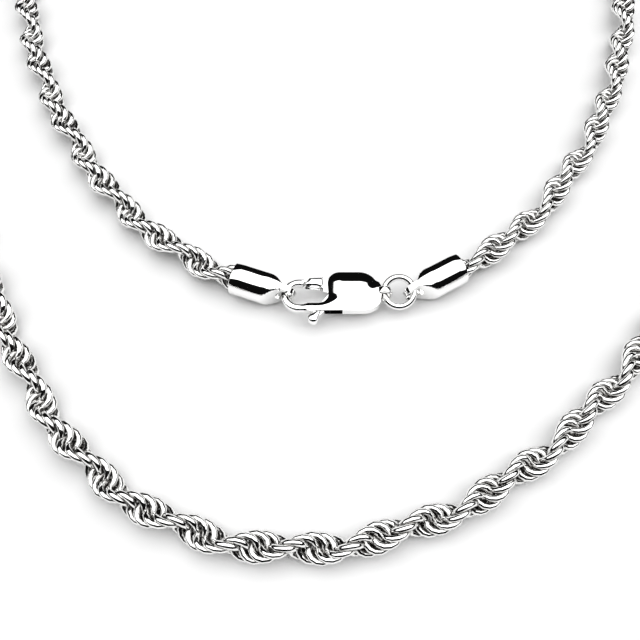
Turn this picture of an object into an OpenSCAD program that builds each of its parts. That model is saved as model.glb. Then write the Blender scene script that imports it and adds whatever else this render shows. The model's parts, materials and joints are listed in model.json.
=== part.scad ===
// Rope-chain necklace with two end caps, a jump ring and a lobster-claw clasp.
// The closed necklace lies flat in a crescent on the plane z = 0.

/* [Chain] */
// Wire diameter of one chain link
link_wire = 0.52; // [0.4:0.01:0.52]
// Radius of a link, from its middle to the centre of its wire
link_radius = 1.66; // [1.6:0.01:1.66]
// Distance from the chain's axis to the plane of each link
link_offset = 0.35; // [0.3:0.01:0.4]
// Links in half a turn of the rope
links_per_half_turn = 5.5; // [5.3:0.1:5.7]
// Number of chain segments that bend against each other
segment_count = 47; // [46:1:48]
// Links in one segment
links_per_segment = 8; // [8:1:8]
// Height of the chain's axis above the surface it lies on
chain_height = 2.25; // [2.2:0.05:2.4]

/* [End caps] */
// Outer diameter of the cylindrical cup
cap_diameter = 4.5; // [4.4:0.05:4.6]
// Bore that takes the end of the chain
cap_bore = 4.1; // [4.1:0.02:4.16]
// Distance from the eye's centre to the rim of the cup
cap_length = 7.1; // [7:0.1:7.5]
// Distance from the eye's centre to the start of the cup's bore
cap_floor = 3.1; // [3:0.1:3.3]
// Thickness of the pinched tongue that holds the eye
tongue_thickness = 0.9; // [0.8:0.05:0.9]
// Height of the tongue
tongue_height = 3.6; // [3.5:0.1:3.8]
// Diameter of the eye through the tongue
cap_eye = 2.1; // [2:0.05:2.1]
// Depth of the solder that holds the chain in the cup
solder_depth = 1.0; // [0.6:0.1:1]

/* [Jump ring] */
// Wire diameter of the jump ring
ring_wire = 0.9; // [0.8:0.05:0.9]
// Radius to the centre of the ring's wire
ring_radius = 1.95; // [1.9:0.05:1.95]
// Tilt of the ring as it leans against the clasp
ring_tilt = 22; // [15:1:24]

/* [Clasp] */
// Height of the clasp, face to face
clasp_thickness = 2.2; // [2.1:0.1:2.3]
// Width of the clasp's body
clasp_width = 5.6; // [5.5:0.1:5.7]
// Diameter of the pivot pin
pin_diameter = 0.8; // [0.7:0.05:0.8]
// Thickness of the lever that closes the claw
lever_thickness = 0.9; // [0.8:0.05:1]
// Gap between the lever and the walls of its slot
lever_gap = 0.1; // [0.08:0.01:0.12]
// Wire diameter of the lever's spring
spring_wire = 0.2; // [0.16:0.02:0.2]

/* [Hidden] */
$fn = 48;

silver = [0.86, 0.87, 0.88];
dark_silver = [0.62, 0.63, 0.65];
steel = [0.55, 0.56, 0.58];

// moves the necklace so that its bounding box is centred on the origin
home = [-2, -25];
eye_height = chain_height;
overshoot = 1;
hair = 0.01;

// middle of the jump ring, and the eyes of the two end caps
ring_centre = [10.3, 3.0];
right_eye = [12.25, 3.1];
left_eye = [-4.55, 2.75];
right_heading = 30;
left_heading = 160;

// the chain starts inside a cup, this far behind its rim
chain_inset = 2.6;
// length of chain that stays straight in front of a rim
straight_lead = 0.8;

// hand-picked points along the lay of the chain, from the right cap round to the left one
waypoints = [
    [29.2, 14.6], [40.3, 30], [47.2, 46.5], [50.5, 60.5], [53.8, 70], [60.3, 76.8],
    [69.5, 77.6], [76.9, 72.2], [79.4, 63], [77, 52], [71.3, 38.5], [63.2, 25.5], [54.2, 13],
    [44.5, 0], [34, -12], [23, -21], [11, -27], [-3, -29.6], [-17, -26.6], [-28.5, -18.6],
    [-37, -7.5], [-44.5, 6], [-52, 20.5], [-60, 35.5], [-68.3, 49], [-74, 60], [-75.2, 69.8],
    [-70.1, 77.6], [-61.3, 79.6], [-53.4, 75.6], [-49.8, 67], [-48, 56.5], [-43.7, 43.5],
    [-36.6, 29.5], [-26, 15.2]];

steps_per_span = 24;
bend_probe = 0.4;

function heading_vector(angle) = [cos(angle), sin(angle)];
function segment_name(n) = str("chain_", n < 10 ? "0" : "", n);

// a point at t on the smooth curve between b and c
function curve_point(a, b, c, d, t) =
    0.5 * (2 * b + (c - a) * t + (2 * a - 5 * b + 4 * c - d) * t * t
        + (3 * b - a - 3 * c + d) * t * t * t);

right_start = right_eye + heading_vector(right_heading) * (cap_length - chain_inset);
left_end = left_eye + heading_vector(left_heading) * (cap_length - chain_inset);
right_rim = right_eye + heading_vector(right_heading) * (cap_length + straight_lead);
left_rim = left_eye + heading_vector(left_heading) * (cap_length + straight_lead);

last = len(waypoints) - 1;
right_guide = waypoints[0] - 2 * norm(waypoints[0] - right_rim) * heading_vector(right_heading);
left_guide = waypoints[last] - 2 * norm(waypoints[last] - left_rim) * heading_vector(left_heading);
knots = concat([right_guide, right_rim], waypoints, [left_rim, left_guide]);

route = concat(
    [right_start],
    [for (i = [1 : len(knots) - 3], j = [0 : steps_per_span - 1])
        curve_point(knots[i - 1], knots[i], knots[i + 1], knots[i + 2], j / steps_per_span)],
    [left_rim, left_end]);
distances = [for (i = 0, d = 0; i < len(route);
    d = d + (i + 1 < len(route) ? norm(route[i + 1] - route[i]) : 0), i = i + 1) d];
route_x = [for (i = [0 : len(route) - 1]) [distances[i], route[i][0]]];
route_y = [for (i = [0 : len(route) - 1]) [distances[i], route[i][1]]];
chain_length = distances[len(route) - 1];

function route_point(d) = [lookup(d, route_x), lookup(d, route_y)];
function route_heading(d) =
    let (along = route_point(d + bend_probe) - route_point(d - bend_probe))
    atan2(along[1], along[0]);

link_count = segment_count * links_per_segment;
link_pitch = chain_length / link_count;
link_turn = 180 / links_per_half_turn;

// the cup: its wedge starts at wedge_start and narrows to the tongue at wedge_end
wedge_start = 2.6;
wedge_end = 0.5;
tongue_radius = tongue_height / 2;
tongue_nose = 1.5;

// clasp, measured from the middle of its body; x runs towards the jump ring
clasp_middle = [0, 2.85];
clasp_height = chain_height;
body_half = clasp_width / 2;
shoulder = [2.6, 1.2];
shoulder_radius = 1.6;
rump_x = 5.6;
hook_middle = [-2.68, -0.475];
hook_radius = 2.375;
hook_height = 1.2;
hook_root_x = -2.6;
opening_middle = [-2.7, -0.44];
opening_radius = 1.35;
opening_right = -0.55;
tail_eye_x = 8.35;
tail_radius = 1.15;
tail_eye_diameter = 1.7;
tail_thickness = 1.0;

// lever: a hub on the pin, a gate that shuts the mouth and a thumb tab below the spine
pivot = [2.2, -0.1];
lever_hub = 0.95;
gate_height = 1.5;
tab_middle = [-0.85, -3.75];
tab_radius = 0.72;
tab_root_radius = 0.5;
tab_height = 1.5;
slot_height = lever_thickness + 2 * lever_gap;
pin_fit = 0.03;
spring_radius = 1.15;
spring_start = -62;
spring_sweep = 165;
bore_sides = 64;

// ---------- chain ----------

module link_ring() {
    rotate_extrude() translate([link_radius, 0]) circle(d = link_wire, $fn = 24);
}

// one link, turned about the chain's axis by its place in the rope
module placed_link(number) {
    along = (number + 0.5) * link_pitch;
    place = route_point(along) + home;
    translate([place[0], place[1], chain_height])
        rotate([0, 0, route_heading(along)])
        rotate([-number * link_turn, 0, 0])
        translate([0, 0, link_offset]) link_ring();
}

module chain_segment(n) {
    color(silver)
        for (k = [0 : links_per_segment - 1]) placed_link((n - 1) * links_per_segment + k);
}

// ---------- end caps ----------

// puts a cap's own frame, with x from the eye to the rim, at its eye
module at_eye(eye, heading) {
    translate([eye[0] + home[0], eye[1] + home[1], eye_height]) rotate([0, 0, heading]) children();
}

module along_x(from_x, to_x, diameter) {
    translate([from_x, 0, 0]) rotate([0, 90, 0])
        cylinder(h = to_x - from_x, d = diameter, $fn = bore_sides);
}

// plan of the cap, pinched from the cup down to the tongue
module cap_plan() {
    half = cap_diameter / 2 + hair;
    thin = tongue_thickness / 2;
    polygon([[-tongue_nose, -thin], [wedge_end, -thin], [wedge_start, -half], [cap_length, -half],
        [cap_length, half], [wedge_start, half], [wedge_end, thin], [-tongue_nose, thin]]);
}

// side view of the cap, with its rounded tongue
module cap_side() {
    half = cap_diameter / 2 + hair;
    intersection() {
        union() {
            translate([tongue_radius - tongue_nose, 0]) circle(r = tongue_radius);
            polygon([[tongue_radius - tongue_nose, -tongue_radius], [wedge_start, -half],
                [cap_length, -half], [cap_length, half], [wedge_start, half],
                [tongue_radius - tongue_nose, tongue_radius]]);
        }
        translate([-tongue_nose, -half]) square([cap_length + tongue_nose, 2 * half]);
    }
}

module end_cap() {
    color(silver) difference() {
        intersection() {
            along_x(-tongue_nose - overshoot, cap_length, cap_diameter);
            translate([0, 0, -cap_diameter]) linear_extrude(2 * cap_diameter) cap_plan();
            rotate([90, 0, 0]) translate([0, 0, -cap_diameter])
                linear_extrude(2 * cap_diameter) cap_side();
        }
        along_x(cap_floor, cap_length + overshoot, cap_bore);
        rotate([90, 0, 0]) cylinder(h = 2 * cap_diameter, d = cap_eye, center = true, $fn = bore_sides);
    }
}

module solder() {
    color(dark_silver) along_x(cap_floor, cap_floor + solder_depth, cap_bore);
}

module end_cap_left() {
    at_eye(left_eye, left_heading) end_cap();
}

module end_cap_right() {
    at_eye(right_eye, right_heading) end_cap();
}

module solder_left() {
    at_eye(left_eye, left_heading) solder();
}

module solder_right() {
    at_eye(right_eye, right_heading) solder();
}

// ---------- jump ring ----------

module jump_ring() {
    color(silver)
        translate([ring_centre[0] + home[0], ring_centre[1] + home[1], eye_height])
        rotate([ring_tilt, 0, 0])
        rotate_extrude() translate([ring_radius, 0]) circle(d = ring_wire, $fn = 32);
}

// ---------- clasp ----------

module at_clasp() {
    translate([clasp_middle[0] + home[0], clasp_middle[1] + home[1], clasp_height]) children();
}

module plate(height) {
    translate([0, 0, -height / 2]) linear_extrude(height) children();
}

// plan of the spine and the body, which rounds off towards the tail
module body_plan() {
    translate([hook_root_x, hook_middle[1] - hook_radius])
        square([shoulder[0] - hook_root_x, opening_middle[1] - opening_radius - hook_middle[1] + hook_radius]);
    translate([shoulder[0] - shoulder_radius, -body_half])
        square([rump_x - shoulder[0] + shoulder_radius, body_half + shoulder[1]]);
    translate([shoulder[0], -body_half]) square([rump_x - shoulder[0], 2 * body_half]);
    translate(shoulder) circle(r = shoulder_radius);
    translate([rump_x, 0]) circle(r = body_half, $fn = bore_sides);
}

// the hook is the part of a disc that lies ahead of the body
module hook_plan() {
    difference() {
        translate(hook_middle) circle(r = hook_radius, $fn = bore_sides);
        claw_mouth();
    }
}

// the opening that the eye of the left cap hangs in
module claw_opening() {
    translate(opening_middle) circle(r = opening_radius, $fn = bore_sides);
    translate([opening_right, opening_middle[1]]) circle(r = opening_radius, $fn = bore_sides);
    translate([opening_middle[0], opening_middle[1] - opening_radius])
        square([opening_right - opening_middle[0], 2 * opening_radius]);
}

// everything behind the slanted face of the claw's tip
module claw_mouth() {
    polygon([[-2.45, 0.6], [-1.55, 2.1], [shoulder[0] - shoulder_radius, 2.1],
        [shoulder[0] - shoulder_radius, opening_middle[1] - opening_radius],
        [-1.2, opening_middle[1] - opening_radius], [-1.2, 0.2]]);
}

// the slot between the two cheeks, where the lever swings
module lever_slot() {
    polygon([[-1.95, -3.4], [4, -3.4], [4, 1.4], [3, 2.25], [0.5, 2.25], [0.5, -1.2], [-1.95, -1.2]]);
}

module gate_plan() {
    polygon([[-2.12, 0.86], [-1.42, 2.02], [0.3, 2.1], [1.1, 1.85], [1.8, 1.3], [1.3, 0.1], [0.55, 0.45],
        [-0.4, 0.78]]);
}

// a bar whose sides run from one round end to another
module tapered_bar(from, from_radius, to, to_radius) {
    across = [from[1] - to[1], to[0] - from[0]] / norm(to - from);
    polygon([from + across * from_radius, to + across * to_radius,
        to - across * to_radius, from - across * from_radius]);
    translate(from) circle(r = from_radius);
    translate(to) circle(r = to_radius);
}

module clasp_body() {
    color(silver) at_clasp() difference() {
        union() {
            plate(clasp_thickness) difference() {
                body_plan();
                claw_opening();
            }
            plate(hook_height) difference() {
                hook_plan();
                claw_opening();
            }
            translate([tail_eye_x, 0, 0]) rotate([90, 0, 0])
                cylinder(h = tail_thickness, r = tail_radius, center = true, $fn = bore_sides);
        }
        plate(slot_height) lever_slot();
        translate([tail_eye_x, 0, 0]) rotate([90, 0, 0])
            cylinder(h = clasp_width, d = tail_eye_diameter, center = true, $fn = bore_sides);
        pin_bore(pin_diameter);
    }
}

module pin_bore(diameter) {
    translate([pivot[0], pivot[1], -clasp_thickness])
        cylinder(h = 2 * clasp_thickness, d = diameter, $fn = bore_sides);
}

module clasp_lever() {
    color(silver) at_clasp() difference() {
        union() {
            plate(lever_thickness) {
                gate_plan();
                tapered_bar(pivot, lever_hub, tab_middle, tab_root_radius);
            }
            plate(gate_height) intersection() {
                gate_plan();
                translate([-3, 0]) square([3.2, 3]);
            }
            plate(tab_height) translate(tab_middle) circle(r = tab_radius);
        }
        pin_bore(pin_diameter + 2 * pin_fit);
    }
}

module clasp_pin() {
    color(steel) at_clasp() translate([pivot[0], pivot[1], -clasp_thickness / 2])
        cylinder(h = clasp_thickness, d = pin_diameter, $fn = bore_sides);
}

module clasp_spring() {
    color(steel) at_clasp() translate([pivot[0], pivot[1], 0]) rotate([0, 0, spring_start])
        rotate_extrude(angle = spring_sweep) translate([spring_radius, 0])
            circle(d = spring_wire, $fn = 16);
}

// ---------- what is drawn ----------

for (n = [1 : segment_count]) chain_segment(n);
end_cap_left();
end_cap_right();
solder_left();
solder_right();
jump_ring();
clasp_body();
clasp_lever();
clasp_pin();
clasp_spring();
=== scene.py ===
# %% [markdown]
# # A rope-chain necklace, laid flat and closed
#
# The CAD frame gives every piece its place and its joints. This lesson builds the looks around it:
# the links of the rope, the two end caps, the jump ring and the lobster-claw clasp, all in polished silver.
# Lengths in the cells are in millimetres until a piece is finished, and metres in the scene.

# %%
import json
import math
import random

import bmesh
import bpy
import numpy as np
from mathutils import Matrix, Vector

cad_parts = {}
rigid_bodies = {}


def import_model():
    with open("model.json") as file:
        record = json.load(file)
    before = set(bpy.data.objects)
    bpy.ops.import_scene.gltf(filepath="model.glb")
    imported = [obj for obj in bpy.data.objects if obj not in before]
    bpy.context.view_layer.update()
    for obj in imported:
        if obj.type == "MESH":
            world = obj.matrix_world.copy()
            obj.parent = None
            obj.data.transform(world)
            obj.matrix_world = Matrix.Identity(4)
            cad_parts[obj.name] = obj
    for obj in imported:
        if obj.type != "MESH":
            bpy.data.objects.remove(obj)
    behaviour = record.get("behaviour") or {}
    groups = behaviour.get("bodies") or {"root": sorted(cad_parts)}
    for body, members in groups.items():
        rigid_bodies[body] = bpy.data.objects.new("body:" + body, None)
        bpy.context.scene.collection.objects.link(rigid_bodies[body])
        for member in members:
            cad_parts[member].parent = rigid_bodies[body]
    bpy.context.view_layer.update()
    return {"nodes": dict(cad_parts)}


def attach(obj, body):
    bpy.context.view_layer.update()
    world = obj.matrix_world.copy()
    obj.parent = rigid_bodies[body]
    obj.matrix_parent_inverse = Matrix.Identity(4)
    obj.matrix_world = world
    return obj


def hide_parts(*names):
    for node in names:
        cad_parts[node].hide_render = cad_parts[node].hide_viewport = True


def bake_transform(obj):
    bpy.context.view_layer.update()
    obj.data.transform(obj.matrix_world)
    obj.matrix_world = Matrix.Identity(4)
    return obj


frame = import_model()
MM = 0.001

# %% [markdown]
# ## The camera
#
# It looks down on the clasp from in front, 63 degrees above the floor, close enough that the back of the
# chain leaves the picture at the top.

# %%
LOOK_AT = Vector((-2.0, -26.0, 2.0)) * MM
STEP_BACK = Vector((0.0, -43.4, 84.1)) * MM

camera_data = bpy.data.cameras.new("camera")
camera_data.lens = 41.5
camera_data.sensor_width = 36.0
camera_data.clip_start = 0.002
camera_data.clip_end = 5.0
camera = bpy.data.objects.new("camera", camera_data)
bpy.context.scene.collection.objects.link(camera)
camera.location = LOOK_AT + STEP_BACK
camera.rotation_euler = (-STEP_BACK).to_track_quat("-Z", "Y").to_euler()
bpy.context.scene.camera = camera
bpy.context.scene.view_settings.view_transform = "Standard"
print("camera stands %.1f mm from what it looks at" % (STEP_BACK.length / MM))

# %% [markdown]
# ## How the chain lies
#
# A jeweller would lay the necklace down and nudge it into shape. The same nudges are written here as points
# on the floor, and a smooth curve runs through them from one end cap to the other.

# %%
HOME = Vector((-2.0, -25.0))
CHAIN_HEIGHT = 2.25
RIGHT_EYE, RIGHT_HEADING = Vector((12.25, 3.1)), math.radians(30)
LEFT_EYE, LEFT_HEADING = Vector((-4.55, 2.75)), math.radians(160)
CAP_LENGTH, CHAIN_INSET, STRAIGHT_LEAD = 7.1, 2.6, 0.8
LAY = [
    (29.2, 14.6), (40.3, 30), (47.2, 46.5), (50.5, 60.5), (53.8, 70), (60.3, 76.8), (69.5, 77.6),
    (76.9, 72.2), (79.4, 63), (77, 52), (71.3, 38.5), (63.2, 25.5), (54.2, 13), (44.5, 0), (34, -12),
    (23, -21), (11, -27), (-3, -29.6), (-17, -26.6), (-28.5, -18.6), (-37, -7.5), (-44.5, 6),
    (-52, 20.5), (-60, 35.5), (-68.3, 49), (-74, 60), (-75.2, 69.8), (-70.1, 77.6), (-61.3, 79.6),
    (-53.4, 75.6), (-49.8, 67), (-48, 56.5), (-43.7, 43.5), (-36.6, 29.5), (-26, 15.2),
]
STEPS_PER_SPAN = 24


def pointing(angle):
    """A step of one millimetre on the floor in that direction."""
    return Vector((math.cos(angle), math.sin(angle)))


def between(a, b, c, d, t):
    """A point on the smooth curve from b to c, with a and d as its outer neighbours."""
    return 0.5 * (2 * b + (c - a) * t + (2 * a - 5 * b + 4 * c - d) * t * t + (3 * b - a - 3 * c + d) * t**3)


def lay_the_chain():
    """The chain's axis on the floor, as points and the distance of each along the chain."""
    right_rim = RIGHT_EYE + pointing(RIGHT_HEADING) * (CAP_LENGTH + STRAIGHT_LEAD)
    left_rim = LEFT_EYE + pointing(LEFT_HEADING) * (CAP_LENGTH + STRAIGHT_LEAD)
    lay = [Vector(p) for p in LAY]
    before = lay[0] - 2 * (lay[0] - right_rim).length * pointing(RIGHT_HEADING)
    after = lay[-1] - 2 * (lay[-1] - left_rim).length * pointing(LEFT_HEADING)
    knots = [before, right_rim, *lay, left_rim, after]
    points = [RIGHT_EYE + pointing(RIGHT_HEADING) * (CAP_LENGTH - CHAIN_INSET)]
    for i in range(1, len(knots) - 2):
        points += [between(*knots[i - 1:i + 3], j / STEPS_PER_SPAN) for j in range(STEPS_PER_SPAN)]
    points += [left_rim, LEFT_EYE + pointing(LEFT_HEADING) * (CAP_LENGTH - CHAIN_INSET)]
    points = np.array([tuple(p + HOME) for p in points])
    steps = np.linalg.norm(np.diff(points, axis=0), axis=1)
    return points, np.concatenate([[0.0], np.cumsum(steps)])


AXIS, ALONG = lay_the_chain()
CHAIN_LENGTH = float(ALONG[-1])


def axis_at(d):
    return Vector((float(np.interp(d, ALONG, AXIS[:, 0])), float(np.interp(d, ALONG, AXIS[:, 1]))))


def heading_at(d, probe=0.4):
    ahead = axis_at(d + probe) - axis_at(d - probe)
    return math.atan2(ahead.y, ahead.x)


print("chain is %.1f mm long" % CHAIN_LENGTH)

# %% [markdown]
# ## Small helpers for building metal
#
# Each shape is built by bmesh operators around the origin, moved to its place in the mesh itself, and
# only then turned into an object.

# %%
def sharpen(bm, degrees=32):
    """Smooth faces, with a crisp edge wherever the surface turns by more than this."""
    for face in bm.faces:
        face.smooth = True
    for edge in bm.edges:
        if len(edge.link_faces) == 2 and edge.calc_face_angle() > math.radians(degrees):
            edge.smooth = False


def to_object(bm, name, crisp=32):
    bmesh.ops.remove_doubles(bm, verts=bm.verts, dist=0.002)
    bmesh.ops.recalc_face_normals(bm, faces=bm.faces)
    if crisp:
        sharpen(bm, crisp)
    bmesh.ops.scale(bm, vec=(MM, MM, MM), verts=bm.verts)
    mesh = bpy.data.meshes.new(name)
    bm.to_mesh(mesh)
    bm.free()
    thing = bpy.data.objects.new(name, mesh)
    bpy.context.scene.collection.objects.link(thing)
    return thing


def carve(thing, cutter, crisp=32):
    """Cuts the cutter's shape out of a thing, for good."""
    cut = thing.modifiers.new("cut", "BOOLEAN")
    cut.operation = "DIFFERENCE"
    cut.solver = "EXACT"
    cut.object = cutter
    bpy.context.view_layer.update()
    result = bpy.data.meshes.new_from_object(thing.evaluated_get(bpy.context.evaluated_depsgraph_get()))
    thing.modifiers.clear()
    thing.data = result
    bpy.data.objects.remove(cutter)
    bm = bmesh.new()
    bm.from_mesh(result)
    sharpen(bm, crisp)
    bm.to_mesh(result)
    bm.free()
    return thing


def rod(radius, length, place, name="cutter", sides=48):
    """A plain cylinder along Z, centred on the origin and then put in its place by a matrix."""
    bm = bmesh.new()
    bmesh.ops.create_cone(bm, cap_ends=True, segments=sides, radius1=radius, radius2=radius, depth=length)
    bmesh.ops.transform(bm, matrix=place, verts=bm.verts)
    return to_object(bm, name)


def bar_loop(bm, radius, sides):
    """A circle of loose edges, round the X axis at x = 0, which an operator can bridge or spin."""
    made = bmesh.ops.create_circle(bm, segments=sides, radius=radius)["verts"]
    bmesh.ops.rotate(bm, verts=made, matrix=Matrix.Rotation(math.pi / 2, 3, "Y"))
    return made


def loop_edges(verts):
    chosen = set(verts)
    return list({e for v in verts for e in v.link_edges if e.verts[0] in chosen and e.verts[1] in chosen})


# %% [markdown]
# ## One link of the rope
#
# A link is a ring of wire, spun round from a small profile. After soldering, rope chains are shaved flat on
# the outside with a diamond tool, so whatever stands too far from the rope's axis is pressed in to a flat,
# bright leaf.

# %%
LINK_RADIUS = 1.5    # to the middle of the wire
LINK_WIRE = 0.83
LINK_OFFSET = 0.35   # of the ring from the rope's axis
LINK_STEPS = 14
LINK_SIDES = 6
CUT_REACH = 1.86     # where the diamond tool shaves the outside


def make_link():
    """One ring of wire beside the rope's axis, which runs along X, with its outside cut flat."""
    bm = bmesh.new()
    profile = bmesh.ops.create_circle(bm, segments=LINK_SIDES, radius=LINK_WIRE / 2)["verts"]
    bmesh.ops.rotate(bm, verts=profile, matrix=Matrix.Rotation(math.pi / 2, 3, "X"))
    bmesh.ops.translate(bm, verts=profile, vec=(LINK_RADIUS, 0, 0))
    bmesh.ops.spin(bm, geom=profile + loop_edges(profile), cent=(0, 0, 0), axis=(0, 0, 1),
                   angle=2 * math.pi, steps=LINK_STEPS, use_merge=True)
    bmesh.ops.remove_doubles(bm, verts=bm.verts, dist=0.002)
    bmesh.ops.rotate(bm, verts=bm.verts, matrix=Matrix.Rotation(math.pi / LINK_STEPS, 3, "Z"))
    bmesh.ops.translate(bm, verts=bm.verts, vec=(0, 0, LINK_OFFSET))
    pressed = set()
    for v in bm.verts:
        if abs(v.co.y) > CUT_REACH:
            v.co.y = math.copysign(CUT_REACH, v.co.y)
            pressed.add(v)
    bmesh.ops.recalc_face_normals(bm, faces=bm.faces)
    for face in bm.faces:
        face.smooth = not all(v in pressed for v in face.verts)
    mesh = bpy.data.meshes.new("link")
    bm.to_mesh(mesh)
    bm.free()
    return mesh


LINK = make_link()
print("a link has", len(LINK.polygons), "faces")

# %% [markdown]
# ## The rope
#
# Neighbouring links are turned by about a third of a right angle, which winds two strands round each other.
# The frame's chain bends at every third segment. The rope curves smoothly because every link is set along the laid
# curve.
# A piece within a segment and a half of a bend is not attached to any section; every other piece is attached to the
# section it lies in.

# %%
SEGMENTS = 47
LINKS_PER_SEGMENT = 10
LINKS = SEGMENTS * LINKS_PER_SEGMENT
LINK_PITCH = CHAIN_LENGTH / LINKS
LINK_TURN = math.radians(180 / 6.4)
LINK_START = 4.8     # turns the rope so that it stays inside the CAD's outline
BENDS = range(2, 45, 3)
BEND_REACH = 1.5     # segments, to each side of a bend
chance = random.Random(7)


def place_of_link(number):
    """Where a link sits in the rope, with the small unevenness of hand work."""
    d = (number + 0.5) * LINK_PITCH
    here = axis_at(d)
    return (Matrix.Translation((here.x, here.y, CHAIN_HEIGHT))
            @ Matrix.Rotation(heading_at(d), 4, "Z")
            @ Matrix.Rotation(-(number + LINK_START) * LINK_TURN + chance.uniform(-0.02, 0.02), 4, "X")
            @ Matrix.Rotation(chance.uniform(-0.02, 0.02), 4, "Y"))


def wind_rope(name, first, beyond):
    """The links from first up to beyond, as one piece."""
    bm = bmesh.new()
    tone = bm.faces.layers.float.new("link_tone")
    for number in range(first, beyond):
        seen = len(bm.verts), len(bm.faces)
        bm.from_mesh(LINK)
        bm.verts.ensure_lookup_table()
        bm.faces.ensure_lookup_table()
        bmesh.ops.transform(bm, matrix=place_of_link(number), verts=bm.verts[seen[0]:])
        shade = chance.random()
        for face in bm.faces[seen[1]:]:
            face[tone] = shade
    bmesh.ops.scale(bm, vec=(MM, MM, MM), verts=bm.verts)
    mesh = bpy.data.meshes.new(name)
    bm.to_mesh(mesh)
    bm.free()
    piece = bpy.data.objects.new(name, mesh)
    bpy.context.scene.collection.objects.link(piece)
    return piece


def section_of_segment(number):
    return "section_%02d" % (1 + sum(bend < number for bend in BENDS))


rope = []
half = LINKS_PER_SEGMENT // 2
for place in range(SEGMENTS + 1):
    piece = wind_rope("rope_%02d" % place, max(0, place * LINKS_PER_SEGMENT - half),
                      min(LINKS, place * LINKS_PER_SEGMENT + half))
    bend = min(BENDS, key=lambda other: abs(other - place))
    if abs(bend - place) < BEND_REACH:
        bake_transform(piece)
    else:
        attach(piece, section_of_segment(min(SEGMENTS, place + 1)))
    if place > 0:
        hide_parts("chain_%02d" % place)
    rope.append(piece)
print("rope:", LINKS, "links in", len(rope), "pieces")

# %% [markdown]
# ## The end caps
#
# A cap is a piece of tube pinched flat at one end. It is lofted here: circles are set along its axis, each
# one squeezed to the width and height that the pinch leaves there, and bridged. The loft carries on round
# the lip and back down the bore.

# %%
CAP_RADIUS = 2.25
CAP_BORE = 2.05
CAP_FLOOR = 3.1
CAP_EYE = 1.05
TONGUE_HALF = 0.45
TONGUE_RADIUS = 1.8
TONGUE_MIDDLE = 0.3
PINCH_START, PINCH_END = 2.6, 0.5
CAP_SIDES = 72


def pinch_width(x):
    """Half the width that the pinch leaves at x."""
    share = min(1.0, max(0.0, (x - PINCH_END) / (PINCH_START - PINCH_END)))
    return TONGUE_HALF + (CAP_RADIUS + 0.01 - TONGUE_HALF) * share


def pinch_height(x):
    """Half the height of the cap at x."""
    if x < TONGUE_MIDDLE:
        return math.sqrt(max(0.0025, TONGUE_RADIUS**2 - (x - TONGUE_MIDDLE)**2))
    share = min(1.0, (x - TONGUE_MIDDLE) / (PINCH_START - TONGUE_MIDDLE))
    return TONGUE_RADIUS + (CAP_RADIUS - TONGUE_RADIUS) * share


def loft_cap():
    """The cap along X, with its eye at the origin and its lip at the far end."""
    bm = bmesh.new()
    lip = 0.09
    outside = [-1.499, -1.49, -1.46, -1.4, -1.3, -1.15, -0.95, -0.7, -0.4, -0.1, 0.2, 0.5, 0.8, 1.1, 1.4, 1.7, 2.0,
               2.3, 2.6, 3.0, 4.0, 5.0, 6.0, CAP_LENGTH - lip]
    loops = []
    for x in outside:
        ring = bar_loop(bm, CAP_RADIUS, CAP_SIDES)
        wide, tall = pinch_width(x), pinch_height(x) / CAP_RADIUS
        corner = 0.08 if wide < CAP_RADIUS else 0.0
        for v in ring:
            y = v.co.y
            soft = wide - corner * (abs(v.co.z) / CAP_RADIUS)
            v.co.y = max(-soft, min(soft, y))
            v.co.z *= tall
            v.co.x = x
        loops.append(ring)
    for x, radius in ((CAP_LENGTH - lip * 0.3, CAP_RADIUS - lip * 0.3), (CAP_LENGTH, CAP_RADIUS - lip),
                      (CAP_LENGTH - lip * 0.3, CAP_BORE + 0.02), (CAP_LENGTH - lip, CAP_BORE),
                      (CAP_FLOOR + 0.1, CAP_BORE)):
        ring = bar_loop(bm, radius, CAP_SIDES)
        bmesh.ops.translate(bm, verts=ring, vec=(x, 0, 0))
        loops.append(ring)
    rims = [loop_edges(ring) for ring in loops]
    for a, b in zip(rims, rims[1:]):
        bmesh.ops.bridge_loops(bm, edges=a + b)
    bmesh.ops.edgeloop_fill(bm, edges=rims[0])
    bmesh.ops.edgeloop_fill(bm, edges=rims[-1])
    return bm


def make_cap(name, eye, heading, body):
    place = Matrix.Translation((eye.x + HOME.x, eye.y + HOME.y, CHAIN_HEIGHT)) @ Matrix.Rotation(heading, 4, "Z")
    bm = loft_cap()
    bmesh.ops.transform(bm, matrix=place, verts=bm.verts)
    cap = to_object(bm, name, 28)
    carve(cap, eye_cutter(place), 28)
    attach(cap, body)
    return cap


def eye_cutter(place):
    """A plain cylinder across the tongue, which cuts the eye."""
    return rod(CAP_EYE, 4, place @ Matrix.Rotation(math.pi / 2, 4, "X"))


cap_left = make_cap("cap_left", LEFT_EYE, LEFT_HEADING, section_of_segment(SEGMENTS))
cap_right = make_cap("cap_right", RIGHT_EYE, RIGHT_HEADING, section_of_segment(1))
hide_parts("end_cap_left")
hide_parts("end_cap_right")
print("caps:", len(cap_left.data.polygons), "faces each")

# %% [markdown]
# ## The jump ring
#
# A round wire closed by solder. It leans against the clasp, which tilts it towards the camera.

# %%
RING_MIDDLE = Vector((10.3, 3.0))
RING_RADIUS, RING_WIRE, RING_TILT = 1.95, 0.9, math.radians(22)

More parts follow.
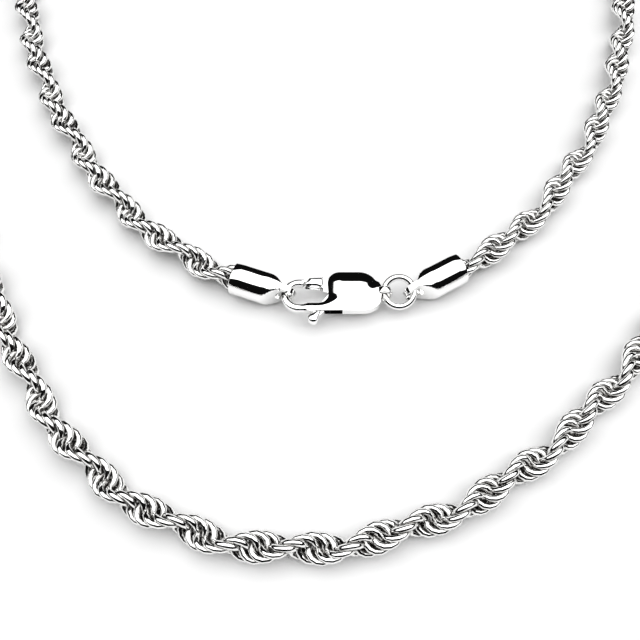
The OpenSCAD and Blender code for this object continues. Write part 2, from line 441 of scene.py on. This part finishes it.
bm = bmesh.new()
profile = bmesh.ops.create_circle(bm, segments=20, radius=RING_WIRE / 2)["verts"]
bmesh.ops.rotate(bm, verts=profile, matrix=Matrix.Rotation(math.pi / 2, 3, "X"))
bmesh.ops.translate(bm, verts=profile, vec=(RING_RADIUS, 0, 0))
bmesh.ops.spin(bm, geom=profile + loop_edges(profile), cent=(0, 0, 0), axis=(0, 0, 1), angle=2 * math.pi,
               steps=72, use_merge=True)
bmesh.ops.transform(bm, matrix=Matrix.Translation((RING_MIDDLE.x + HOME.x, RING_MIDDLE.y + HOME.y, CHAIN_HEIGHT))
                    @ Matrix.Rotation(RING_TILT, 4, "X"), verts=bm.verts)
ring = to_object(bm, "ring", None)
for face in ring.data.polygons:
    face.use_smooth = True
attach(ring, "ring")
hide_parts("jump_ring")
print("ring: %.2f mm across" % (2 * RING_RADIUS + RING_WIRE))

# %% [markdown]
# ## The clasp
#
# The clasp was pressed from thick sheet: its outline is crisp and its face is crowned. A fine grid is
# trimmed to the outline, its border is drawn onto it, and every point is raised by how far inside it lies.

# %%
CLASP_MIDDLE = Vector((0.0, 2.85))
CLASP_PLACE = Matrix.Translation((CLASP_MIDDLE.x + HOME.x, CLASP_MIDDLE.y + HOME.y, CHAIN_HEIGHT))


def arc(middle, radius, start, stop, steps):
    """Points on a circle, from one angle to another, in degrees."""
    return [(middle[0] + radius * math.cos(math.radians(start + (stop - start) * i / steps)),
             middle[1] + radius * math.sin(math.radians(start + (stop - start) * i / steps)))
            for i in range(steps + 1)]


def measured(outline, spacing=0.05):
    """The closed outline again, with a point every so often along it."""
    points = np.array(outline + outline[:1], float)
    steps = np.linalg.norm(np.diff(points, axis=0), axis=1)
    along = np.concatenate([[0.0], np.cumsum(steps)])
    at = np.arange(0, along[-1], spacing)
    return np.stack([np.interp(at, along, points[:, 0]), np.interp(at, along, points[:, 1])], 1)


def inside(points, outline):
    """Whether each point lies inside the closed outline."""
    x, y = points[:, 0:1], points[:, 1:2]
    ax, ay = outline[:, 0], outline[:, 1]
    bx, by = np.roll(ax, -1), np.roll(ay, -1)
    crosses = (ay > y) != (by > y)
    rise = np.where(by == ay, 1e-9, by - ay)
    return (crosses & (x < (bx - ax) * (y - ay) / rise + ax)).sum(1) % 2 == 1


def press(outline, height, step=0.11):
    """A crowned plate. height(x, y, depth) is half its thickness where a point lies depth inside the outline."""
    border = measured(outline)
    low, high = border.min(0) - step, border.max(0) + step
    count = np.ceil((high - low) / step).astype(int)
    bm = bmesh.new()
    bmesh.ops.create_grid(bm, x_segments=int(count[0]), y_segments=int(count[1]), size=0.5)
    bmesh.ops.scale(bm, vec=(*(high - low), 1), verts=bm.verts)
    bmesh.ops.translate(bm, vec=(*((high + low) / 2), 0), verts=bm.verts)
    flat = np.array([v.co.xy for v in bm.verts])
    away = np.array([np.linalg.norm(border - p, axis=1).min() for p in flat])
    kept = inside(flat, border) & (away > step * 0.45)
    bm.verts.ensure_lookup_table()
    bmesh.ops.delete(bm, geom=[v for v, k in zip(bm.verts, kept) if not k], context="VERTS")
    rim = [e for e in bm.edges if e.is_boundary]
    grown = bmesh.ops.extrude_edge_only(bm, edges=rim)["geom"]
    for v in (g for g in grown if isinstance(g, bmesh.types.BMVert)):
        nearest = border[np.linalg.norm(border - np.array(v.co.xy), axis=1).argmin()]
        v.co.x, v.co.y = nearest
    bmesh.ops.remove_doubles(bm, verts=bm.verts, dist=0.004)
    for v in bm.verts:
        depth = np.linalg.norm(border - np.array(v.co.xy), axis=1).min()
        v.co.z = height(v.co.x, v.co.y, 0.0 if depth < 0.03 else depth)
    top = list(bm.verts) + list(bm.edges) + list(bm.faces)
    copy = bmesh.ops.duplicate(bm, geom=top)["geom"]
    below = [g for g in copy if isinstance(g, bmesh.types.BMVert)]
    bmesh.ops.scale(bm, vec=(1, 1, -1), verts=below)
    rims = [e for e in bm.edges if e.is_boundary]
    bmesh.ops.bridge_loops(bm, edges=rims)
    return bm


def to_clasp(bm, name, crisp=35):
    """Moves a shape from the clasp's own frame to its place."""
    bmesh.ops.transform(bm, matrix=CLASP_PLACE, verts=bm.verts)
    return to_object(bm, name, crisp)


print("a plate is pressed from a grid trimmed to its outline")

# %% [markdown]
# ## The clasp's body
#
# The outline runs round the hook, along the spine, round the rump and back over the shoulder to the mouth.

# %%
HOOK, HOOK_RADIUS = (-2.68, -0.475), 2.375
CLAW, CLAW_RADIUS = (-2.7, -0.44), 1.35
HOOK_HALF, BODY_HALF = 0.6, 1.1
body_outline = (
    arc(HOOK, HOOK_RADIUS, 66, 270, 40)
    + arc((5.6, 0), 2.8, -90, 0, 20)
    + arc((5.3, 0.0), 3.1, 0, 18, 4)
    + arc((5.1, 0.35), 2.45, 30, 90, 12)
    + arc((2.6, 1.2), 1.6, 90, 180, 14)
    + arc((-0.25, -0.44), 1.35, -5, -90, 12)
    + arc(CLAW, CLAW_RADIUS, 270, 72, 30)
)


def ease(a, b, x):
    t = min(1.0, max(0.0, (x - a) / (b - a)))
    return t * t * (3 - 2 * t)


def clasp_crown(x, y, depth):
    """Half the clasp's thickness: a round hook, a crowned body."""
    share = ease(-2.6, -1.5, x)
    round_t = min(1.0, depth / 0.5)
    hook = 0.22 + (HOOK_HALF - 0.22) * math.sqrt(1 - (1 - round_t)**2)
    flat_t = min(1.0, depth / 2.3)
    body = 0.58 + (BODY_HALF - 0.58) * (1 - (1 - flat_t)**2)
    return hook + (body - hook) * share


clasp = to_clasp(press(body_outline, clasp_crown), "clasp_body")
print("clasp body, before its slot:", len(clasp.data.polygons), "faces")

# %% [markdown]
# ## The slot and the tail
#
# The slot lets the lever turn between the two cheeks and opens below the spine for the thumb tab. The tail is
# a short rod with rounded ends across the clasp, and one drill makes the jump ring's hole through both.

# %%
SLOT_HEIGHT = 1.1
TAIL_X, TAIL_RADIUS, TAIL_WIDTH, TAIL_HOLE = 8.35, 1.15, 1.0, 0.85
slot_plan = [(-1.3, -3.4), (2.5, -3.4), (4.0, -1.2), (4.0, 1.4), (3.0, 2.25), (0.5, 2.25), (0.5, -1.2), (-1.3, -1.2)]


def slab(outline, height):
    """A closed outline, filled and raised, centred on the clasp's middle plane."""
    bm = bmesh.new()
    corners = [bmesh.ops.create_vert(bm, co=(x, y, -height / 2))["vert"][0] for x, y in outline]
    for a, b in zip(corners, corners[1:] + corners[:1]):
        bmesh.ops.contextual_create(bm, geom=[a, b])
    plan = bmesh.ops.edgeloop_fill(bm, edges=bm.edges)["faces"]
    lifted = bmesh.ops.extrude_face_region(bm, geom=plan)["geom"]
    bmesh.ops.translate(bm, vec=(0, 0, height), verts=[g for g in lifted if isinstance(g, bmesh.types.BMVert)])
    return bm


carve(clasp, to_clasp(slab(slot_plan, SLOT_HEIGHT), "cutter"), 35)

across_clasp = Matrix.Translation((TAIL_X, 0, 0)) @ Matrix.Rotation(math.pi / 2, 4, "X")
bm = bmesh.new()
bmesh.ops.create_cone(bm, cap_ends=True, segments=40, radius1=TAIL_RADIUS, radius2=TAIL_RADIUS, depth=TAIL_WIDTH)
bmesh.ops.bevel(bm, geom=[e for e in bm.edges if e.calc_face_angle() > 1], offset=0.18, segments=3, profile=0.5,
                affect="EDGES", material=-1)
bmesh.ops.transform(bm, matrix=across_clasp, verts=bm.verts)
tail = to_clasp(bm, "clasp_tail")
for thing in (clasp, tail):
    carve(thing, rod(TAIL_HOLE, 8.0, CLASP_PLACE @ across_clasp), 35)
    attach(thing, "clasp")
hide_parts("clasp_body")
print("clasp body:", len(clasp.data.polygons), "faces")

# %% [markdown]
# ## The lever
#
# One stamping turns on a pin inside the body: its long arm shuts the claw and its short arm, the thumb tab,
# sticks out below the spine.

# %%
gate_outline = [(-2.12, 0.86), (-1.42, 2.02), (0.3, 2.1), (1.1, 1.85), (1.8, 1.3), (1.45, 0.6), (1.75, 0.0),
                (0.55, 0.45), (-0.4, 0.78)]


def gate_crown(x, y, depth):
    """The gate is full height in the mouth and steps down to fit the slot."""
    share = ease(0.15, 0.35, x)
    full = 0.5 + 0.25 * (1 - (1 - min(1.0, depth / 0.5))**2)
    return full + (0.45 - full) * share


def arm_crown(x, y, depth):
    return 0.45


def tab_crown(x, y, depth):
    return 0.25 + 0.5 * math.sqrt(1 - (1 - min(1.0, depth / 0.75))**2)


PIVOT, TAB = (2.2, -0.1), (-0.85, -3.75)
across = math.degrees(math.atan2(PIVOT[1] - TAB[1], PIVOT[0] - TAB[0]))
arm_outline = arc(PIVOT, 0.66, across - 90, across + 90, 16) + arc(TAB, 0.42, across + 90, across + 270, 10)
tab_outline = arc((-0.15, -2.98), 0.3, across - 80, across + 80, 6) + arc(TAB, 0.78, across + 100, across + 260, 20)
lever = []
for name, outline, crown in (("lever_gate", gate_outline, gate_crown), ("lever_arm", arm_outline, arm_crown),
                             ("lever_tab", tab_outline, tab_crown)):
    part = to_clasp(press(outline, crown, 0.09), name, 40)
    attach(part, "lever")
    lever.append(part)
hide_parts("clasp_lever")
print("lever:", sum(len(p.data.polygons) for p in lever), "faces")

# %% [markdown]
# ## Pin and spring
#
# The pin is filed flush and polished over, so it stays under the body's skin. The spring lies round it in
# the slot and keeps its CAD shape.

# %%
pin = rod(0.4, 1.9, CLASP_PLACE @ Matrix.Translation((*PIVOT, 0)), "pin", 32)
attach(pin, "clasp")
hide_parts("clasp_pin")
print("pin:", len(pin.data.polygons), "faces")

# %% [markdown]
# ## Polished silver
#
# Three effects are shared by all the metals: fine scratches from wear, the slow waviness that polishing
# leaves, and painted shade that darkens the colour in the crevices, where ambient occlusion finds them. Each is a node
# group with its own inputs.

# %%
def group(name, inputs, outputs):
    """An empty node group with named sockets: (name, type, value)."""
    tree = bpy.data.node_groups.new(name, "ShaderNodeTree")
    for label, kind, value in inputs:
        socket = tree.interface.new_socket(label, in_out="INPUT", socket_type=kind)
        if value is not None:
            socket.default_value = value
    for label, kind in outputs:
        tree.interface.new_socket(label, in_out="OUTPUT", socket_type=kind)
    return tree, tree.nodes.new("NodeGroupInput"), tree.nodes.new("NodeGroupOutput")


def add(tree, kind, **settings):
    node = tree.nodes.new(kind)
    for key, value in settings.items():
        setattr(node, key, value)
    return node


def maths(tree, operation, a, b=None, c=None):
    node = add(tree, "ShaderNodeMath", operation=operation)
    for socket, value in zip(node.inputs, (a, b, c)):
        if value is None:
            continue
        if isinstance(value, (int, float)):
            socket.default_value = value
        else:
            tree.links.new(value, socket)
    return node.outputs[0]


FLOAT, COLOR, VECTOR = "NodeSocketFloat", "NodeSocketColor", "NodeSocketVector"

# fine scratches: stretched noise in two directions, kept only where it peaks
scratches, enter, leave = group("fine_scratches", [("Place", VECTOR, None), ("Density", FLOAT, 1.0)],
                                [("Mask", FLOAT)])
marks = []
for angle, stretch in ((0.5, 9.0), (-0.9, 13.0)):
    turn = add(scratches, "ShaderNodeMapping")
    turn.inputs["Rotation"].default_value = (angle * 0.4, angle * 0.3, angle)
    turn.inputs["Scale"].default_value = (260, 260 * stretch, 260 * stretch)
    scratches.links.new(enter.outputs["Place"], turn.inputs["Vector"])
    grain = add(scratches, "ShaderNodeTexNoise")
    grain.inputs["Scale"].default_value = 1.0
    grain.inputs["Detail"].default_value = 3.0
    scratches.links.new(turn.outputs[0], grain.inputs["Vector"])
    marks.append(maths(scratches, "SMOOTH_MAX", maths(scratches, "MULTIPLY_ADD", grain.outputs["Fac"], 6.0, -3.9), 0.0, 0.1))
both = maths(scratches, "ADD", marks[0], marks[1])
scratches.links.new(maths(scratches, "MULTIPLY", both, enter.outputs["Density"]), leave.inputs["Mask"])

# polishing waviness: a slow, shallow unevenness of the surface
waviness, enter, leave = group("polish_waviness", [("Place", VECTOR, None), ("Scale", FLOAT, 400.0)],
                               [("Height", FLOAT)])
slow = add(waviness, "ShaderNodeTexNoise")
slow.inputs["Detail"].default_value = 1.0
waviness.links.new(enter.outputs["Place"], slow.inputs["Vector"])
waviness.links.new(enter.outputs["Scale"], slow.inputs["Scale"])
waviness.links.new(slow.outputs["Fac"], leave.inputs["Height"])

# painted shade: darkens the colour in the crevices, where ambient occlusion finds them, broken up by noise
crevice_shade_tree, enter, leave = group("painted_crevice_shade", [("Place", VECTOR, None), ("Reach", FLOAT, 0.0008),
                                                  ("Amount", FLOAT, 0.5)], [("Mask", FLOAT)])
shade = add(crevice_shade_tree, "ShaderNodeAmbientOcclusion", samples=6)
crevice_shade_tree.links.new(enter.outputs["Reach"], shade.inputs["Distance"])
patch = add(crevice_shade_tree, "ShaderNodeTexNoise")
patch.inputs["Scale"].default_value = 700.0
crevice_shade_tree.links.new(enter.outputs["Place"], patch.inputs["Vector"])
deep = maths(crevice_shade_tree, "SUBTRACT", 1.0, shade.outputs["AO"])
broken = maths(crevice_shade_tree, "MULTIPLY", deep, maths(crevice_shade_tree, "ADD", patch.outputs["Fac"], 0.4))
crevice_shade_tree.links.new(maths(crevice_shade_tree, "MULTIPLY", broken, enter.outputs["Amount"]), leave.inputs["Mask"])

print("shared effects:", len(bpy.data.node_groups))

# %% [markdown]
# ## The metals
#
# Every metal is the same recipe with its own colour, roughness and painted crevice shade. The chain's links also
# differ a little from each other.

# %%
def polished(name, bright, dark, rough, density=1.0, wave=0.1, wave_scale=400.0, shade_amount=0.5, tone=False):
    """A polished metal. bright is its own colour, dark the colour painted into its crevices as shade."""
    material = bpy.data.materials.new(name)
    material.use_nodes = True
    tree = material.node_tree
    shader = tree.nodes["Principled BSDF"]
    shader.inputs["Metallic"].default_value = 1.0
    place = add(tree, "ShaderNodeTexCoord").outputs["Object"]
    worn = add(tree, "ShaderNodeGroup", node_tree=scratches)
    worn.inputs["Density"].default_value = density
    wavy = add(tree, "ShaderNodeGroup", node_tree=waviness)
    wavy.inputs["Scale"].default_value = wave_scale
    crevice_shade_node = add(tree, "ShaderNodeGroup", node_tree=crevice_shade_tree)
    crevice_shade_node.inputs["Amount"].default_value = shade_amount
    for node in (worn, wavy, crevice_shade_node):
        tree.links.new(place, node.inputs["Place"])
    # painted shade: the colour runs from bright to dark where the ambient-occlusion crevice mask is high
    mix = add(tree, "ShaderNodeMix", data_type="RGBA")
    mix.inputs["A"].default_value = (*bright, 1)
    mix.inputs["B"].default_value = (*dark, 1)
    tree.links.new(crevice_shade_node.outputs["Mask"], mix.inputs["Factor"])
    tree.links.new(mix.outputs["Result"], shader.inputs["Base Color"])
    roughness = maths(tree, "MULTIPLY_ADD", worn.outputs["Mask"], 0.12, rough)
    roughness = maths(tree, "MULTIPLY_ADD", crevice_shade_node.outputs["Mask"], 0.3, roughness)
    if tone:
        link = add(tree, "ShaderNodeAttribute", attribute_name="link_tone")
        roughness = maths(tree, "MULTIPLY_ADD", link.outputs["Fac"], 0.05, roughness)
    tree.links.new(roughness, shader.inputs["Roughness"])
    height = maths(tree, "MULTIPLY_ADD", worn.outputs["Mask"], -0.01, wavy.outputs["Height"])
    bump = add(tree, "ShaderNodeBump")
    bump.inputs["Strength"].default_value = wave
    bump.inputs["Distance"].default_value = 0.0004
    tree.links.new(height, bump.inputs["Height"])
    tree.links.new(bump.outputs["Normal"], shader.inputs["Normal"])
    return material


# the chain's crevices get the darkest and strongest painted shade, the other metals a lighter one
chain_silver = polished("chain_silver", (0.95, 0.95, 0.94), (0.16, 0.15, 0.14), 0.05, 0.5, 0.12, 500.0, 1.3, tone=True)
cap_silver = polished("cap_silver", (0.96, 0.96, 0.955), (0.3, 0.29, 0.27), 0.05, 0.7, 0.1, 260.0, 0.4)
ring_silver = polished("ring_silver", (0.95, 0.95, 0.945), (0.3, 0.29, 0.27), 0.06, 0.8, 0.08, 300.0, 0.5)
clasp_silver = polished("clasp_silver", (0.96, 0.96, 0.955), (0.3, 0.29, 0.27), 0.04, 0.7, 0.08, 220.0, 0.5)
lever_silver = polished("lever_silver", (0.95, 0.95, 0.945), (0.3, 0.29, 0.27), 0.06, 0.8, 0.1, 300.0, 0.5)
pin_silver = polished("pin_silver", (0.8, 0.8, 0.79), (0.3, 0.29, 0.27), 0.2, 1.0, 0.1, 400.0, 0.5)
solder_silver = polished("solder", (0.62, 0.61, 0.6), (0.25, 0.24, 0.22), 0.4, 0.3, 0.6, 900.0, 0.8)
spring_steel = polished("spring_steel", (0.6, 0.6, 0.61), (0.2, 0.2, 0.2), 0.25, 0.4, 0.1, 900.0, 0.5)


def dress(thing, material):
    thing.data.materials.clear()
    thing.data.materials.append(material)


for piece in rope:
    dress(piece, chain_silver)
for thing in (cap_left, cap_right):
    dress(thing, cap_silver)
for thing in (clasp, tail):
    dress(thing, clasp_silver)
for thing in lever:
    dress(thing, lever_silver)
dress(ring, ring_silver)
dress(pin, pin_silver)
dress(frame["nodes"]["solder_left"], solder_silver)
dress(frame["nodes"]["solder_right"], solder_silver)
dress(frame["nodes"]["clasp_spring"], spring_steel)
print("materials:", len(bpy.data.materials))

# %% [markdown]
# ## The studio
#
# A pale table under one wide soft box. Silver shows what stands around it, so the room beyond the table and
# the place where the viewer stands are dark: that draws the crisp black lines in the metal.

# %%
bm = bmesh.new()
bmesh.ops.create_grid(bm, x_segments=1, y_segments=1, size=600)
table = to_object(bm, "table", None)
paper = bpy.data.materials.new("table_paper")
paper.use_nodes = True
sheet = paper.node_tree.nodes["Principled BSDF"]
sheet.inputs["Base Color"].default_value = (0.9, 0.9, 0.9, 1)
sheet.inputs["Roughness"].default_value = 0.85
sheet.inputs["Specular IOR Level"].default_value = 0.2
table.data.materials.append(paper)

BOX_FRONT, BOX_BACK = 118.0, 46.0
ROOM, BOX = 0.004, 2.2
BOX_SLANT = 25.0
world = bpy.data.worlds.new("studio")
bpy.context.scene.world = world
world.use_nodes = True
tree = world.node_tree
background = tree.nodes["Background"]
split = add(tree, "ShaderNodeSeparateXYZ")
tree.links.new(add(tree, "ShaderNodeTexCoord").outputs["Generated"], split.inputs[0])
x, y, z = split.outputs
# the angle up from the far side of the table, over the top and down to the near side
over = maths(tree, "MULTIPLY", maths(tree, "ARCTAN2", z, y), 180 / math.pi)


def rises(value, start, stop):
    node = add(tree, "ShaderNodeMapRange", interpolation_type="SMOOTHSTEP")
    node.inputs["From Min"].default_value = start
    node.inputs["From Max"].default_value = stop
    tree.links.new(value, node.inputs["Value"])
    return node.outputs[0]


# the back edge of the box hangs aslant: it is higher towards the left
to_left = maths(tree, "MAXIMUM", maths(tree, "MULTIPLY", x, -1.0), 0.0)
past_back = maths(tree, "SUBTRACT", over, maths(tree, "MULTIPLY", to_left, BOX_SLANT))
in_box = maths(tree, "MULTIPLY", rises(past_back, BOX_BACK - 2, BOX_BACK + 2), rises(over, BOX_FRONT + 2, BOX_FRONT - 2))
sides = rises(maths(tree, "ABSOLUTE", x), 0.93, 0.85)
in_box = maths(tree, "MULTIPLY", in_box, sides)
strength = maths(tree, "MULTIPLY_ADD", in_box, BOX - ROOM, ROOM)
tree.links.new(strength, background.inputs["Strength"])
background.inputs["Color"].default_value = (1, 1, 1, 1)
print("studio: soft box from %.0f to %.0f degrees" % (BOX_BACK, BOX_FRONT))
